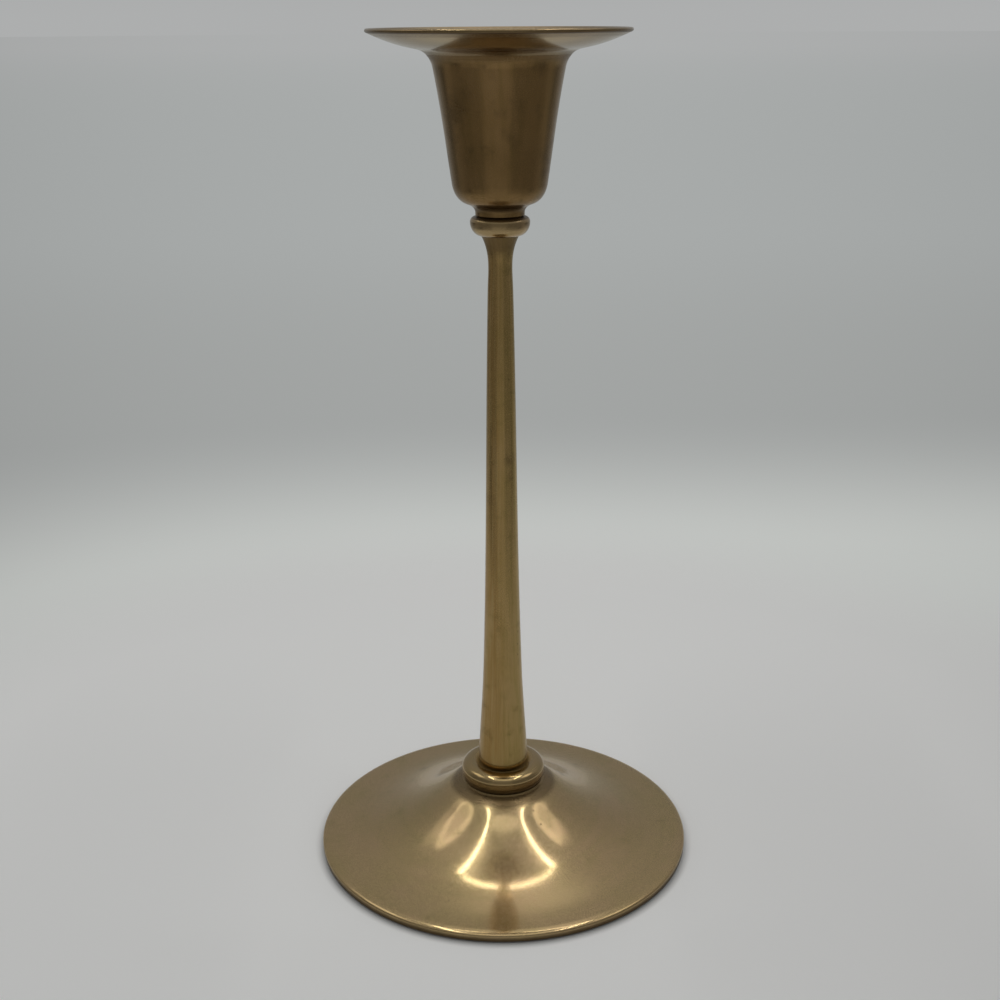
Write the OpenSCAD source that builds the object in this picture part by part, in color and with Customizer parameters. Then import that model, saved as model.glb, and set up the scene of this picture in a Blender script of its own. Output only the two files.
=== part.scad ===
// Tall brass candlestick: a hollow trumpet foot, a moulded collar, a slender turned stem,
// a neck ring and a bell cup with a wide drip pan that lifts out.
// Every piece is a turning about Z. The origin is on the axis, on the plane it stands on.

/* [Foot plate] */
// Diameter of the foot plate
base_d = 119.2; // [100:0.2:140]
// Height of the seat that the collar stands on
base_h = 21.3; // [18:0.1:26]
// Thickness of the outer edge
base_edge_t = 2.0; // [1.6:0.1:3]
// Width of the rolled edge
base_roll_w = 3.4; // [2.8:0.1:4]
// Fall of the rolled edge
base_roll_h = 1.15; // [0.9:0.05:1.4]
// Wall of the hollow foot plate
base_wall = 1.7; // [1.2:0.1:2.2]
// Width of the flat land that touches the table
base_land_w = 2.4; // [1.5:0.1:4]
// Height of the small step round the collar's seat
base_step_h = 0.5; // [0.3:0.1:1]
// Width of the seat that shows round the collar's foot
base_step_w = 0.6; // [0.3:0.1:1.5]
// Diameter of the boss under the seat
base_boss_d = 20; // [16:0.5:24]
// Thickness of the foot plate at the boss
base_boss_t = 4.3; // [3.5:0.1:6]
// Downward slope beside the seat, in degrees
base_seat_slope = 12; // [5:1:20]
// Steepest slope, where the shoulder turns into the flare, in degrees
base_waist_slope = 36; // [30:1:42]
// Slope where the flare eases into the flatter brim, in degrees
base_brim_slope = 18; // [16:1:20]
// Slope of the brim beside the rolled edge, in degrees
base_edge_slope = 5.5; // [4:0.5:7]

/* [Collar] */
// Largest diameter of the collar
collar_d = 26.9; // [25:0.1:32]
// Height of the collar
collar_h = 6.3; // [5.5:0.1:8]
// Height of its widest circle above the seat
collar_belly_h = 3.9; // [3:0.1:4.5]
// How far the collar's foot is drawn in under its widest circle
collar_tuck = 1.3; // [0.8:0.1:2]
// Width from the widest circle in to the crest
collar_crown_w = 3.3; // [2.5:0.1:3.8]
// Depth of the recess round the stem's foot
collar_recess_depth = 1.2; // [0.8:0.1:2]

/* [Stem] */
// Height of the stem from the collar's recess to the neck ring
stem_h = 171.1; // [140:0.1:210]
// Diameter of the stem's round foot
stem_foot_d = 15.8; // [14:0.1:17]
// Rounding of the foot's lower corner
stem_foot_round = 2.6; // [1.5:0.1:3.2]
// Diameter at the ankle, where the foot's flare starts
stem_ankle_d = 12.2; // [11.4:0.1:13]
// Diameter at the throat, the thinnest place
stem_throat_d = 7.5; // [6.6:0.1:8.5]
// Diameter of the flared top
stem_top_d = 11.0; // [10.4:0.1:12]

/* [Neck ring] */
// Largest diameter of the neck ring
ring_d = 17.3; // [16.4:0.1:20]
// Height of the neck ring
ring_h = 5.4; // [5:0.1:7]
// Rounding of the ring's upper corner
ring_round = 1.5; // [1.2:0.1:1.8]
// Width of the ring's round underside
ring_under_w = 3.2; // [2.6:0.1:3.4]

/* [Candle cup] */
// Height of the cup from the neck ring to its lip
cup_h = 44.2; // [42:0.1:55]
// Diameter of the cup's neck
cup_neck_d = 14.2; // [13.6:0.1:15]
// Height of the neck up to the cup's underside
cup_neck_h = 3.7; // [3:0.1:4.5]
// Depth of the tarnished groove between the neck and the ring
cup_groove = 0.5; // [0.3:0.1:0.8]
// Diameter of the cup above its rounded lower corner
cup_heel_d = 27.3; // [27:0.1:30]
// Height of the rounded lower corner
cup_heel_h = 5.6; // [5:0.1:7]
// Diameter of the cup below its flared lip
cup_mouth_d = 36.9; // [33:0.1:38]
// Diameter of the flared lip
cup_lip_d = 40.4; // [39:0.1:43]
// Height of the flared lip
cup_lip_h = 3.5; // [2.5:0.1:4.5]
// Thickness of the cup's floor below the bore
cup_floor = 9.1; // [8:0.1:11]
// Chamfer at the mouth of the bore
cup_chamfer = 0.5; // [0.3:0.1:1]

/* [Drip pan] */
// Diameter of the drip pan
pan_d = 73.7; // [64:0.1:80]
// Thickness of the pan's sheet
pan_t = 1.0; // [0.8:0.1:1.2]
// Height of the pan from its seat to its rim
pan_h = 6.9; // [6:0.1:8.5]
// Rounding of the rim's bead
pan_bead = 0.55; // [0.5:0.05:0.8]

/* [Candle sleeve] */
// Diameter of the candle
candle_d = 22; // [20:0.1:22.5]
// Wall of the sleeve
sleeve_wall = 0.8; // [0.6:0.1:1]
// Depth of the sleeve below the pan's seat
sleeve_depth = 25; // [18:0.5:28]
// Width of the lip that lies on the pan
sleeve_lip_w = 1.6; // [1.2:0.1:2.5]
// Thickness of that lip
sleeve_lip_t = 0.8; // [0.6:0.1:1.2]

/* [Fasteners] */
// Diameter of the screw that holds the cup and the ring to the stem
screw_d = 4; // [3:0.1:4.2]
// Diameter of its head
screw_head_d = 7; // [6.4:0.1:8]
// Height of its head
screw_head_h = 2.6; // [2:0.1:3.2]
// Length of the screw inside the stem
screw_bite = 10; // [8:0.5:14]
// Width of the slot in the screw's head
slot_w = 1; // [0.8:0.1:1.2]
// Depth of the slot
slot_depth = 1.2; // [0.8:0.1:1.4]
// Diameter of the stud that holds the foot together
stud_d = 6; // [5:0.1:7]
// Length of the stud inside the stem
stud_bite = 16; // [12:0.5:24]
// Length of the stud that stands out of the nut
stud_end = 1.4; // [0.8:0.1:2]
// Width of the nut across its flats
nut_af = 10; // [9:0.1:12]
// Height of the nut
nut_h = 5; // [4:0.1:5.5]
// Outer diameter of the washer
washer_d = 14; // [12.5:0.1:16]
// Thickness of the washer
washer_t = 1.6; // [1:0.1:2]

/* [Fits] */
// Radial gap between the candle and its sleeve
candle_gap = 0.2; // [0.1:0.05:0.3]
// Radial gap between the sleeve and the cup's bore
sleeve_gap = 0.25; // [0.15:0.05:0.3]
// Radial gap round the sleeve in the pan, filled with solder
solder_gap = 0.05; // [0.03:0.01:0.08]
// Radial gap between a thread and its tapped hole
thread_gap = 0.05; // [0.03:0.01:0.08]
// Radial gap round a shank that passes through
shank_gap = 0.25; // [0.15:0.05:0.4]
// Extra depth of a tapped hole past the thread's end
tap_spare = 1.5; // [1:0.1:3]

/* [Hidden] */
$fn = 96;

// Number of steps along a long curve and round a small arc
long_steps = 20;
short_steps = 8;
// Overrun of every cut
over = 1;
// Pull of a curve's handles, as a share of the distance between its ends
pull_share = 0.36;

// Where the shoulder of the foot plate turns into its flare, and the flare into its brim
waist_r_shares = 0.178;
waist_z_shares = 0.763;
brim_r_shares = 0.607;
brim_z_shares = 0.21;
// Height of the stem's ankle and throat, and the slopes there
ankle_shares = 0.205;
throat_shares = 0.905;
foot_heading = 92.6;
ankle_heading = 91.9;
throat_heading = 91.35;
stem_top_heading = 62;
// Headings of the cup's wall and lip and of the pan's sheet, measured up from the radius
cup_under_heading = 17;
cup_heel_heading = 81.8;
cup_mouth_heading = 79;
cup_lip_heading = 47;
pan_dish_heading = 11;
pan_rim_heading = 25;
// Where the cove of the cup's neck starts and ends
cove_z_shares = 0.33;
cove_r_shares = 0.384;
// Where the pan's knuckle turns into its dish
dish_r_shares = 0.24;
dish_z_shares = 0.24;

// Radii and heights that the pieces share
base_r = base_d / 2;
collar_foot_r = collar_d / 2 - collar_tuck;
seat_r = collar_foot_r + base_step_w;
collar_top_z = base_h + collar_h;
recess_z = collar_top_z - collar_recess_depth;
ring_z = recess_z + stem_h;
cup_z = ring_z + ring_h;
pan_z = cup_z + cup_h;
rim_z = pan_z + pan_h;
boss_z = base_h - base_boss_t;
nut_z = boss_z - washer_t - nut_h;
sleeve_bore_r = candle_d / 2 + candle_gap;
sleeve_r = sleeve_bore_r + sleeve_wall;
cup_bore_r = sleeve_r + sleeve_gap;
cup_floor_z = cup_z + cup_floor;

// A point on the cubic curve through p and q with handles h and k
function on_curve(p, h, k, q, t) =
    pow(1 - t, 3) * p + 3 * pow(1 - t, 2) * t * h + 3 * (1 - t) * t * t * k + t * t * t * q;
function heading(a) = [cos(a), sin(a)];
// A curve from p to q that leaves with heading a and arrives with heading b, in degrees
function curve(p, a, q, b, steps) =
    let (reach = norm(q - p) * pull_share, h = p + reach * heading(a), k = q - reach * heading(b))
    [for (i = [0:steps]) on_curve(p, h, k, q, i / steps)];
// An arc of an ellipse with centre c and half axes rx and rz
function arc(c, rx, rz, from, to, steps) =
    [for (i = [0:steps]) let (a = from + (to - from) * i / steps) c + [rx * cos(a), rz * sin(a)]];
function reversed(points) = [for (i = [len(points) - 1:-1:0]) points[i]];
// The points moved sideways by t, to the right of their direction when t is above zero
function beside(points, t) =
    let (last = len(points) - 1)
    [for (i = [0:last])
        let (d = points[min(i + 1, last)] - points[max(i - 1, 0)])
        points[i] + t * [d[1], -d[0]] / norm(d)];

// Outline of the foot plate's upper side, from the seat's step to the edge
shoulder_start = [seat_r, base_h - base_step_h];
flare_size = [base_r - seat_r, base_h - base_step_h - base_edge_t];
waist = [seat_r + waist_r_shares * flare_size[0], base_edge_t + waist_z_shares * flare_size[1]];
brim = [seat_r + brim_r_shares * flare_size[0], base_edge_t + brim_z_shares * flare_size[1]];
// The rolled edge is a stretch of an ellipse that starts where its slope is the brim's
roll = [base_r - base_roll_w, base_edge_t];
roll_from = atan2(base_roll_h, base_roll_w * tan(base_edge_slope));
roll_start = roll + [base_roll_w * cos(roll_from), base_roll_h * sin(roll_from)];
shoulder = curve(shoulder_start, -base_seat_slope, waist, -base_waist_slope, short_steps);
flare = curve(waist, -base_waist_slope, brim, -base_brim_slope, long_steps);
brim_top = curve(brim, -base_brim_slope, roll_start, -base_edge_slope, 2 * short_steps);
base_top = concat(shoulder, [for (i = [1:long_steps]) flare[i]],
    [for (i = [1:2 * short_steps]) brim_top[i]]);
base_land_r = base_r - base_land_w;
base_under = [for (p = reversed(beside(base_top, base_wall)))
    if (p[0] < base_land_r && p[0] > base_boss_d / 2) p];

module turned(points) {
    rotate_extrude() polygon(points);
}

module hole(r, from, to) {
    translate([0, 0, from]) cylinder(r = r, h = to - from);
}

module foot_plate() {
    color("peru") difference() {
        turned(concat(
            [[0, base_h], [seat_r, base_h]],
            base_top,
            arc(roll, base_roll_w, base_roll_h, roll_from, 0, short_steps),
            [[base_r, 0], [base_land_r, 0]],
            base_under,
            [[base_boss_d / 2, base_under[len(base_under) - 1][1]], [base_boss_d / 2, boss_z],
                [0, boss_z]]));
        hole(stud_d / 2 + shank_gap, boss_z - over, base_h + over);
    }
}

module collar() {
    belly = [collar_d / 2 - collar_crown_w, base_h + collar_belly_h];
    crown_h = collar_h - collar_belly_h;
    // Half angle of the crest that is left above the recess
    fall = acos((crown_h - collar_recess_depth) / crown_h);
    color("peru") difference() {
        turned(concat(
            [[0, base_h], [collar_foot_r, base_h]],
            curve([collar_foot_r, base_h], base_waist_slope,
                [collar_d / 2, base_h + collar_belly_h], 90, short_steps),
            arc(belly, collar_crown_w, crown_h, 0, 90 + fall, 2 * short_steps),
            [[0, recess_z]]));
        hole(stud_d / 2 + shank_gap, base_h - over, recess_z + over);
    }
}

module stem() {
    foot = [stem_foot_d / 2, recess_z + stem_foot_round];
    ankle = [stem_ankle_d / 2, recess_z + ankle_shares * stem_h];
    throat = [stem_throat_d / 2, recess_z + throat_shares * stem_h];
    top = [stem_top_d / 2, ring_z];
    color("darkgoldenrod") difference() {
        turned(concat(
            [[0, recess_z]],
            arc([foot[0] - stem_foot_round, foot[1]], stem_foot_round, stem_foot_round,
                -90, 0, short_steps),
            curve(foot, foot_heading, ankle, ankle_heading, short_steps),
            curve(ankle, ankle_heading, throat, throat_heading, long_steps),
            curve(throat, throat_heading, top, stem_top_heading, long_steps),
            [[0, ring_z]]));
        hole(stud_d / 2 + thread_gap, recess_z - over, recess_z + stud_bite + tap_spare);
        hole(screw_d / 2 + thread_gap, ring_z - screw_bite - tap_spare, ring_z + over);
    }
}

module neck_ring() {
    belly_z = cup_z - ring_round;
    color("peru") difference() {
        turned(concat(
            [[0, ring_z]],
            arc([ring_d / 2 - ring_under_w, belly_z], ring_under_w, belly_z - ring_z,
                -90, 0, 2 * short_steps),
            arc([ring_d / 2 - ring_round, belly_z], ring_round, ring_round, 0, 90, short_steps),
            [[0, cup_z]]));
        hole(screw_d / 2 + shank_gap, ring_z - over, cup_z + over);
    }
}

module candle_cup() {
    neck_r = cup_neck_d / 2;
    heel_r = cup_heel_d / 2;
    under_z = cup_z + cup_neck_h;
    cove_start = [neck_r, cup_z + cove_z_shares * cup_neck_h];
    cove_end = [neck_r + cove_r_shares * (heel_r - neck_r), under_z];
    heel = [heel_r, under_z + cup_heel_h];
    mouth = [cup_mouth_d / 2, pan_z - cup_lip_h];
    lip = [cup_lip_d / 2, pan_z];
    color("sienna") difference() {
        turned(concat(
            [[0, cup_z], [neck_r - cup_groove, cup_z], [neck_r, cup_z + cup_groove]],
            curve(cove_start, 90, cove_end, cup_under_heading, short_steps),
            curve(cove_end, cup_under_heading, heel, cup_heel_heading, 2 * short_steps),
            curve(heel, cup_heel_heading, mouth, cup_mouth_heading, long_steps),
            curve(mouth, cup_mouth_heading, lip, cup_lip_heading, short_steps),
            [[0, pan_z]]));
        hole(cup_bore_r, cup_floor_z, pan_z + over);
        translate([0, 0, pan_z - cup_chamfer])
            cylinder(r1 = cup_bore_r, r2 = cup_bore_r + cup_chamfer + over, h = cup_chamfer + over);
        hole(screw_d / 2 + shank_gap, cup_z - over, cup_floor_z + over);
    }
}

module cup_screw() {
    color("goldenrod") difference() {
        union() {
            hole(screw_d / 2, ring_z - screw_bite, cup_floor_z + screw_head_h);
            hole(screw_head_d / 2, cup_floor_z, cup_floor_z + screw_head_h);
        }
        translate([-screw_head_d, -slot_w / 2, cup_floor_z + screw_head_h - slot_depth])
            cube([2 * screw_head_d, slot_w, slot_depth + over]);
    }
}

module drip_pan() {
    knuckle = [cup_lip_d / 2, pan_z];
    rim = [pan_d / 2 - pan_bead, rim_z - pan_bead];
    rim_start = rim + pan_bead * heading(pan_rim_heading - 90);
    dish = [knuckle[0] + dish_r_shares * (rim[0] - knuckle[0]), pan_z + dish_z_shares * pan_h];
    bend = curve(knuckle, cup_lip_heading, dish, pan_dish_heading, short_steps);
    sheet = curve(dish, pan_dish_heading, rim_start, pan_rim_heading, long_steps);
    under = concat(bend, [for (i = [1:long_steps]) sheet[i]]);
    // The upper side follows the lower one, flat over the seat and blunt under the bead
    upper = [for (p = reversed(beside(under, -pan_t)))
        if (p[1] > pan_z + pan_t && p[0] < rim[0] - pan_bead) p];
    color("peru") difference() {
        turned(concat(
            [[0, pan_z]],
            under,
            arc(rim, pan_bead, pan_bead, pan_rim_heading - 90, 90 + pan_rim_heading, 2 * short_steps),
            upper,
            [[knuckle[0] - pan_t, pan_z + pan_t], [0, pan_z + pan_t]]));
        hole(sleeve_r + solder_gap, pan_z - over, pan_z + pan_t + over);
    }
}

module candle_sleeve() {
    lip_z = pan_z + pan_t;
    color("goldenrod") difference() {
        union() {
            hole(sleeve_r, pan_z - sleeve_depth, lip_z);
            hole(sleeve_r + sleeve_lip_w, lip_z, lip_z + sleeve_lip_t);
        }
        hole(sleeve_bore_r, pan_z - sleeve_depth - over, lip_z + sleeve_lip_t + over);
    }
}

module foot_stud() {
    color("goldenrod") hole(stud_d / 2, nut_z - stud_end, recess_z + stud_bite);
}

module foot_washer() {
    color("goldenrod") difference() {
        hole(washer_d / 2, boss_z - washer_t, boss_z);
        hole(stud_d / 2 + shank_gap, boss_z - washer_t - over, boss_z + over);
    }
}

module foot_nut() {
    color("goldenrod") difference() {
        translate([0, 0, nut_z]) cylinder(r = nut_af / 2 / cos(30), h = nut_h, $fn = 6);
        hole(stud_d / 2 + thread_gap, nut_z - over, nut_z + nut_h + over);
    }
}

foot_plate();
collar();
stem();
neck_ring();
candle_cup();
cup_screw();
drip_pan();
candle_sleeve();
foot_stud();
foot_washer();
foot_nut();
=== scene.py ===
"""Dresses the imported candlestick: fine turned pieces, old bronze finishes, threads and slots."""

import logging
from dataclasses import dataclass
from enum import Enum, IntEnum
from math import acos, atan2, ceil, cos, degrees, floor, hypot, pi, radians, sin, tan
from typing import Callable, Optional, Union

import bpy
from mathutils import Matrix, Vector


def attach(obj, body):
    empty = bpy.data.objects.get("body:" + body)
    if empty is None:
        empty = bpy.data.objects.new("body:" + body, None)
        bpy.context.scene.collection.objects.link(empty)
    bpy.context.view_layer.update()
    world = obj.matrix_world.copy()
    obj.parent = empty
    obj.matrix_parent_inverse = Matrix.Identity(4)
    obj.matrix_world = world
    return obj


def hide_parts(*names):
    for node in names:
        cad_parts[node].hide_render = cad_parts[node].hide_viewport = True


Point = tuple[float, float]
Range = tuple[float, float]
Place = tuple[float, float, float]
Colour = tuple[float, float, float]
Stops = tuple[tuple[float, Colour], ...]
Input = Union["Socket", float, Colour]

MM = 0.001
SEAM = 2e-7  # points closer than this, in metres, are one point
NOTHING = 1e-6  # a length in millimetres that counts as none
FULL_TURN = 2 * pi
HEX_HALF = radians(30)  # from a hexagon's corner to the middle of its side
SMOOTH_ANGLE = radians(32)
PULL_SHARE = 0.36  # how far a curve's handles reach, as a share of its chord

log = logging.getLogger("candlestick")
logging.basicConfig(level=logging.INFO, format="%(message)s")

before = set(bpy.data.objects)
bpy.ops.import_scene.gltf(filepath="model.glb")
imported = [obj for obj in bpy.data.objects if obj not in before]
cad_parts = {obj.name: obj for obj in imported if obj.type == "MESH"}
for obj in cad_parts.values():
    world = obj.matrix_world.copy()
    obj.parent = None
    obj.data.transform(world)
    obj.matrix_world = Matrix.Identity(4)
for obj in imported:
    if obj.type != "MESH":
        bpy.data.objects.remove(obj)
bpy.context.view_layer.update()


# Outlines


def heading(angle: float) -> Point:
    """A step of length 1 in the outline's plane at an angle in degrees."""
    return cos(radians(angle)), sin(radians(angle))


def curve(p: Point, a: float, q: Point, b: float, steps: int) -> list[Point]:
    """A smooth curve between two outline points.

    Args:
        p: Start, as radius and height in millimetres.
        a: Heading at the start, in degrees.
        q: End.
        b: Heading at the end, in degrees.
        steps: Number of pieces that the curve is cut into.

    Returns:
        The points, both ends included.
    """
    reach = PULL_SHARE * hypot(q[0] - p[0], q[1] - p[1])
    h = [p[i] + reach * heading(a)[i] for i in (0, 1)]
    k = [q[i] - reach * heading(b)[i] for i in (0, 1)]

    def at(t: float, i: int) -> float:
        """One coordinate of the cubic at t."""
        s = 1 - t
        return s**3 * p[i] + 3 * s * s * t * h[i] + 3 * s * t * t * k[i] + t**3 * q[i]

    return [(at(n / steps, 0), at(n / steps, 1)) for n in range(steps + 1)]


def arc(c: Point, rx: float, rz: float, start: float, end: float, steps: int) -> list[Point]:
    """An arc of an ellipse.

    Args:
        c: Centre.
        rx: Half axis along the radius.
        rz: Half axis along the height.
        start: First angle, in degrees.
        end: Last angle, in degrees.
        steps: Number of pieces that the arc is cut into.

    Returns:
        The points, both ends included.
    """
    turns = [radians(start + (end - start) * n / steps) for n in range(steps + 1)]
    return [(c[0] + rx * cos(a), c[1] + rz * sin(a)) for a in turns]


def beside(points: list[Point], gap: float) -> list[Point]:
    """The points moved sideways.

    Args:
        points: An open outline.
        gap: Distance to the right of the outline's direction.

    Returns:
        As many points as were given.
    """
    moved = []
    for n, (r, z) in enumerate(points):
        before, after = points[max(n - 1, 0)], points[min(n + 1, len(points) - 1)]
        dr, dz = after[0] - before[0], after[1] - before[1]
        size = hypot(dr, dz)
        moved.append((r + gap * dz / size, z - gap * dr / size))
    return moved


def eased(points: list[Point], radius: float) -> list[Point]:
    """The outline with its sharp corners rounded a little, as a worn edge is.

    Args:
        points: A closed outline, or one that starts and ends on the axis.
        radius: Rounding, in millimetres.

    Returns:
        The rounded outline.
    """
    cuts = 4
    least_turn, most_turn = radians(22), radians(150)
    edge_share = 0.46
    kept: list[Point] = []
    for n, p in enumerate(points):
        a, b = points[n - 1], points[(n + 1) % len(points)]
        la, lb = hypot(a[0] - p[0], a[1] - p[1]), hypot(b[0] - p[0], b[1] - p[1])
        turn = atan2(b[1] - p[1], b[0] - p[0]) - atan2(p[1] - a[1], p[0] - a[0])
        turn = abs((turn + pi) % FULL_TURN - pi)
        if p[0] < NOTHING or min(la, lb) < NOTHING or turn < least_turn:
            kept.append(p)
            continue
        back = radius * tan(min(turn, most_turn) / 2)
        back = min(back, edge_share * la, edge_share * lb)
        s = [p[i] + (a[i] - p[i]) * back / la for i in (0, 1)]
        e = [p[i] + (b[i] - p[i]) * back / lb for i in (0, 1)]
        for m in range(cuts + 1):
            t = m / cuts
            r, z = ((1 - t) ** 2 * s[i] + 2 * t * (1 - t) * p[i] + t * t * e[i] for i in (0, 1))
            kept.append((r, z))
    return kept


# Shop tools


class Sides(IntEnum):
    """Steps in the full turn of a round piece, by its width."""

    WIDE = 256
    BROAD = 192
    SLIM = 160
    SMALL = 96
    SCREW = 64
    STUD = 48


class Cut(Enum):
    """What a cut leaves of a piece: what lies outside the tool, or inside it."""

    OUTSIDE = "DIFFERENCE"
    INSIDE = "INTERSECT"


def spun(name: str, outline: list[Point], sides: Sides) -> bpy.types.Object:
    """Draws an outline point by point and spins it round the axis.

    Args:
        name: Name of the piece.
        outline: Radius and height of each point, in millimetres, anticlockwise.
            It starts and ends on the axis, or else is closed by its first point.
        sides: Number of steps in the full turn.

    Returns:
        A closed, smooth piece with its normals outwards.
    """
    points = [Vector((r * MM, 0, z * MM)) for r, z in outline]
    if outline[0][0] > 0:
        points.append(points[0].copy())
    bpy.ops.object.select_all(action="DESELECT")
    bpy.ops.mesh.primitive_plane_add(size=MM, location=(0, 0, 0))
    piece = bpy.context.active_object
    piece.name = piece.data.name = name
    bpy.ops.object.mode_set(mode="EDIT")
    bpy.ops.mesh.select_all(action="SELECT")
    bpy.ops.mesh.merge(type="CENTER")
    bpy.ops.transform.translate(value=points[0])
    for before, after in zip(points, points[1:]):
        bpy.ops.mesh.extrude_vertices_move(TRANSFORM_OT_translate={"value": after - before})
    bpy.ops.mesh.select_all(action="SELECT")
    bpy.ops.mesh.spin(steps=sides, angle=FULL_TURN, center=(0, 0, 0), axis=(0, 0, 1))
    bpy.ops.mesh.select_all(action="SELECT")
    bpy.ops.mesh.remove_doubles(threshold=SEAM)
    bpy.ops.mesh.normals_make_consistent(inside=False)
    bpy.ops.object.mode_set(mode="OBJECT")
    bpy.ops.object.shade_smooth_by_angle(angle=SMOOTH_ANGLE)
    return piece


def carve(piece: bpy.types.Object, tool: bpy.types.Object, keep: Cut) -> None:
    """Cuts a piece with another one, which is used up.

    Args:
        piece: What is cut.
        tool: What cuts it.
        keep: What is left of the piece.
    """
    bpy.ops.object.select_all(action="DESELECT")
    bpy.context.view_layer.objects.active = piece
    piece.select_set(True)
    cut = piece.modifiers.new("cut", "BOOLEAN")
    cut.operation, cut.object, cut.solver = keep.value, tool, "EXACT"
    bpy.ops.object.modifier_apply(modifier=cut.name)
    bpy.data.objects.remove(tool)
    bpy.ops.object.shade_smooth_by_angle(angle=SMOOTH_ANGLE)


@dataclass(frozen=True)
class Thread:
    """A screw thread on a round shank, in millimetres."""

    radius: float
    depth: float
    pitch: float
    low: float
    high: float
    run_out_share: float = 0.8
    flank: float = 1.25
    reach: float = 0.02

    def cut(self, piece: bpy.types.Object) -> None:
        """Winds the thread into a spun piece.

        Args:
            piece: A piece whose rings lie closer than a quarter of the pitch.
        """
        run_out = self.run_out_share * self.pitch
        for v in piece.data.vertices:
            r, z = hypot(v.co.x, v.co.y) / MM, v.co.z / MM
            if abs(r - self.radius) > self.reach or not self.low < z < self.high:
                continue
            phase = z / self.pitch - atan2(v.co.y, v.co.x) / FULL_TURN
            phase -= floor(phase)
            ridge = min(abs(2 * phase - 1) * self.flank, 1)
            fade = min((z - self.low) / run_out, (self.high - z) / run_out, 1)
            scale = (self.radius - self.depth * fade * (1 - ridge)) / r
            v.co.x *= scale
            v.co.y *= scale
        piece.data.update()


# Shader tools


class Socket:
    """A shader socket that takes part in sums as a number does."""

    def __init__(self, bench: "Bench", socket: bpy.types.NodeSocket) -> None:
        """Wraps one output of a node."""
        self.bench, self.socket = bench, socket

    def _math(self, operation: str, *values: Input, clamp: bool = False) -> "Socket":
        """One Math node on up to three values."""
        settings = {"operation": operation, "use_clamp": clamp}
        return self.bench.add("ShaderNodeMath", settings, dict(enumerate(values)))

    def __add__(self, other: Input) -> "Socket":
        """Sum."""
        return self._math("ADD", self, other)

    def __radd__(self, other: Input) -> "Socket":
        """Sum with the number first."""
        return self._math("ADD", other, self)

    def __sub__(self, other: Input) -> "Socket":
        """Difference."""
        return self._math("SUBTRACT", self, other)

    def __rsub__(self, other: Input) -> "Socket":
        """Difference with the number first."""
        return self._math("SUBTRACT", other, self)

    def __mul__(self, other: Input) -> "Socket":
        """Product."""
        return self._math("MULTIPLY", self, other)

    def __rmul__(self, other: Input) -> "Socket":
        """Product with the number first."""
        return self._math("MULTIPLY", other, self)

    def __truediv__(self, other: Input) -> "Socket":
        """Quotient."""
        return self._math("DIVIDE", self, other)

    def __pow__(self, other: Input) -> "Socket":
        """Power."""
        return self._math("POWER", self, other)

    def clamped(self) -> "Socket":
        """The value held between 0 and 1."""
        return self._math("ADD", self, 0.0, clamp=True)

    def smaller(self, other: Input) -> "Socket":
        """The smaller of two values."""
        return self._math("MINIMUM", self, other)

    def larger(self, other: Input) -> "Socket":
        """The larger of two values."""
        return self._math("MAXIMUM", self, other)


class Use(Enum):
    """What a tree is for, by the node that it ends in."""

    MATERIAL = "ShaderNodeOutputMaterial"
    WORLD = "ShaderNodeOutputWorld"


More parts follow.
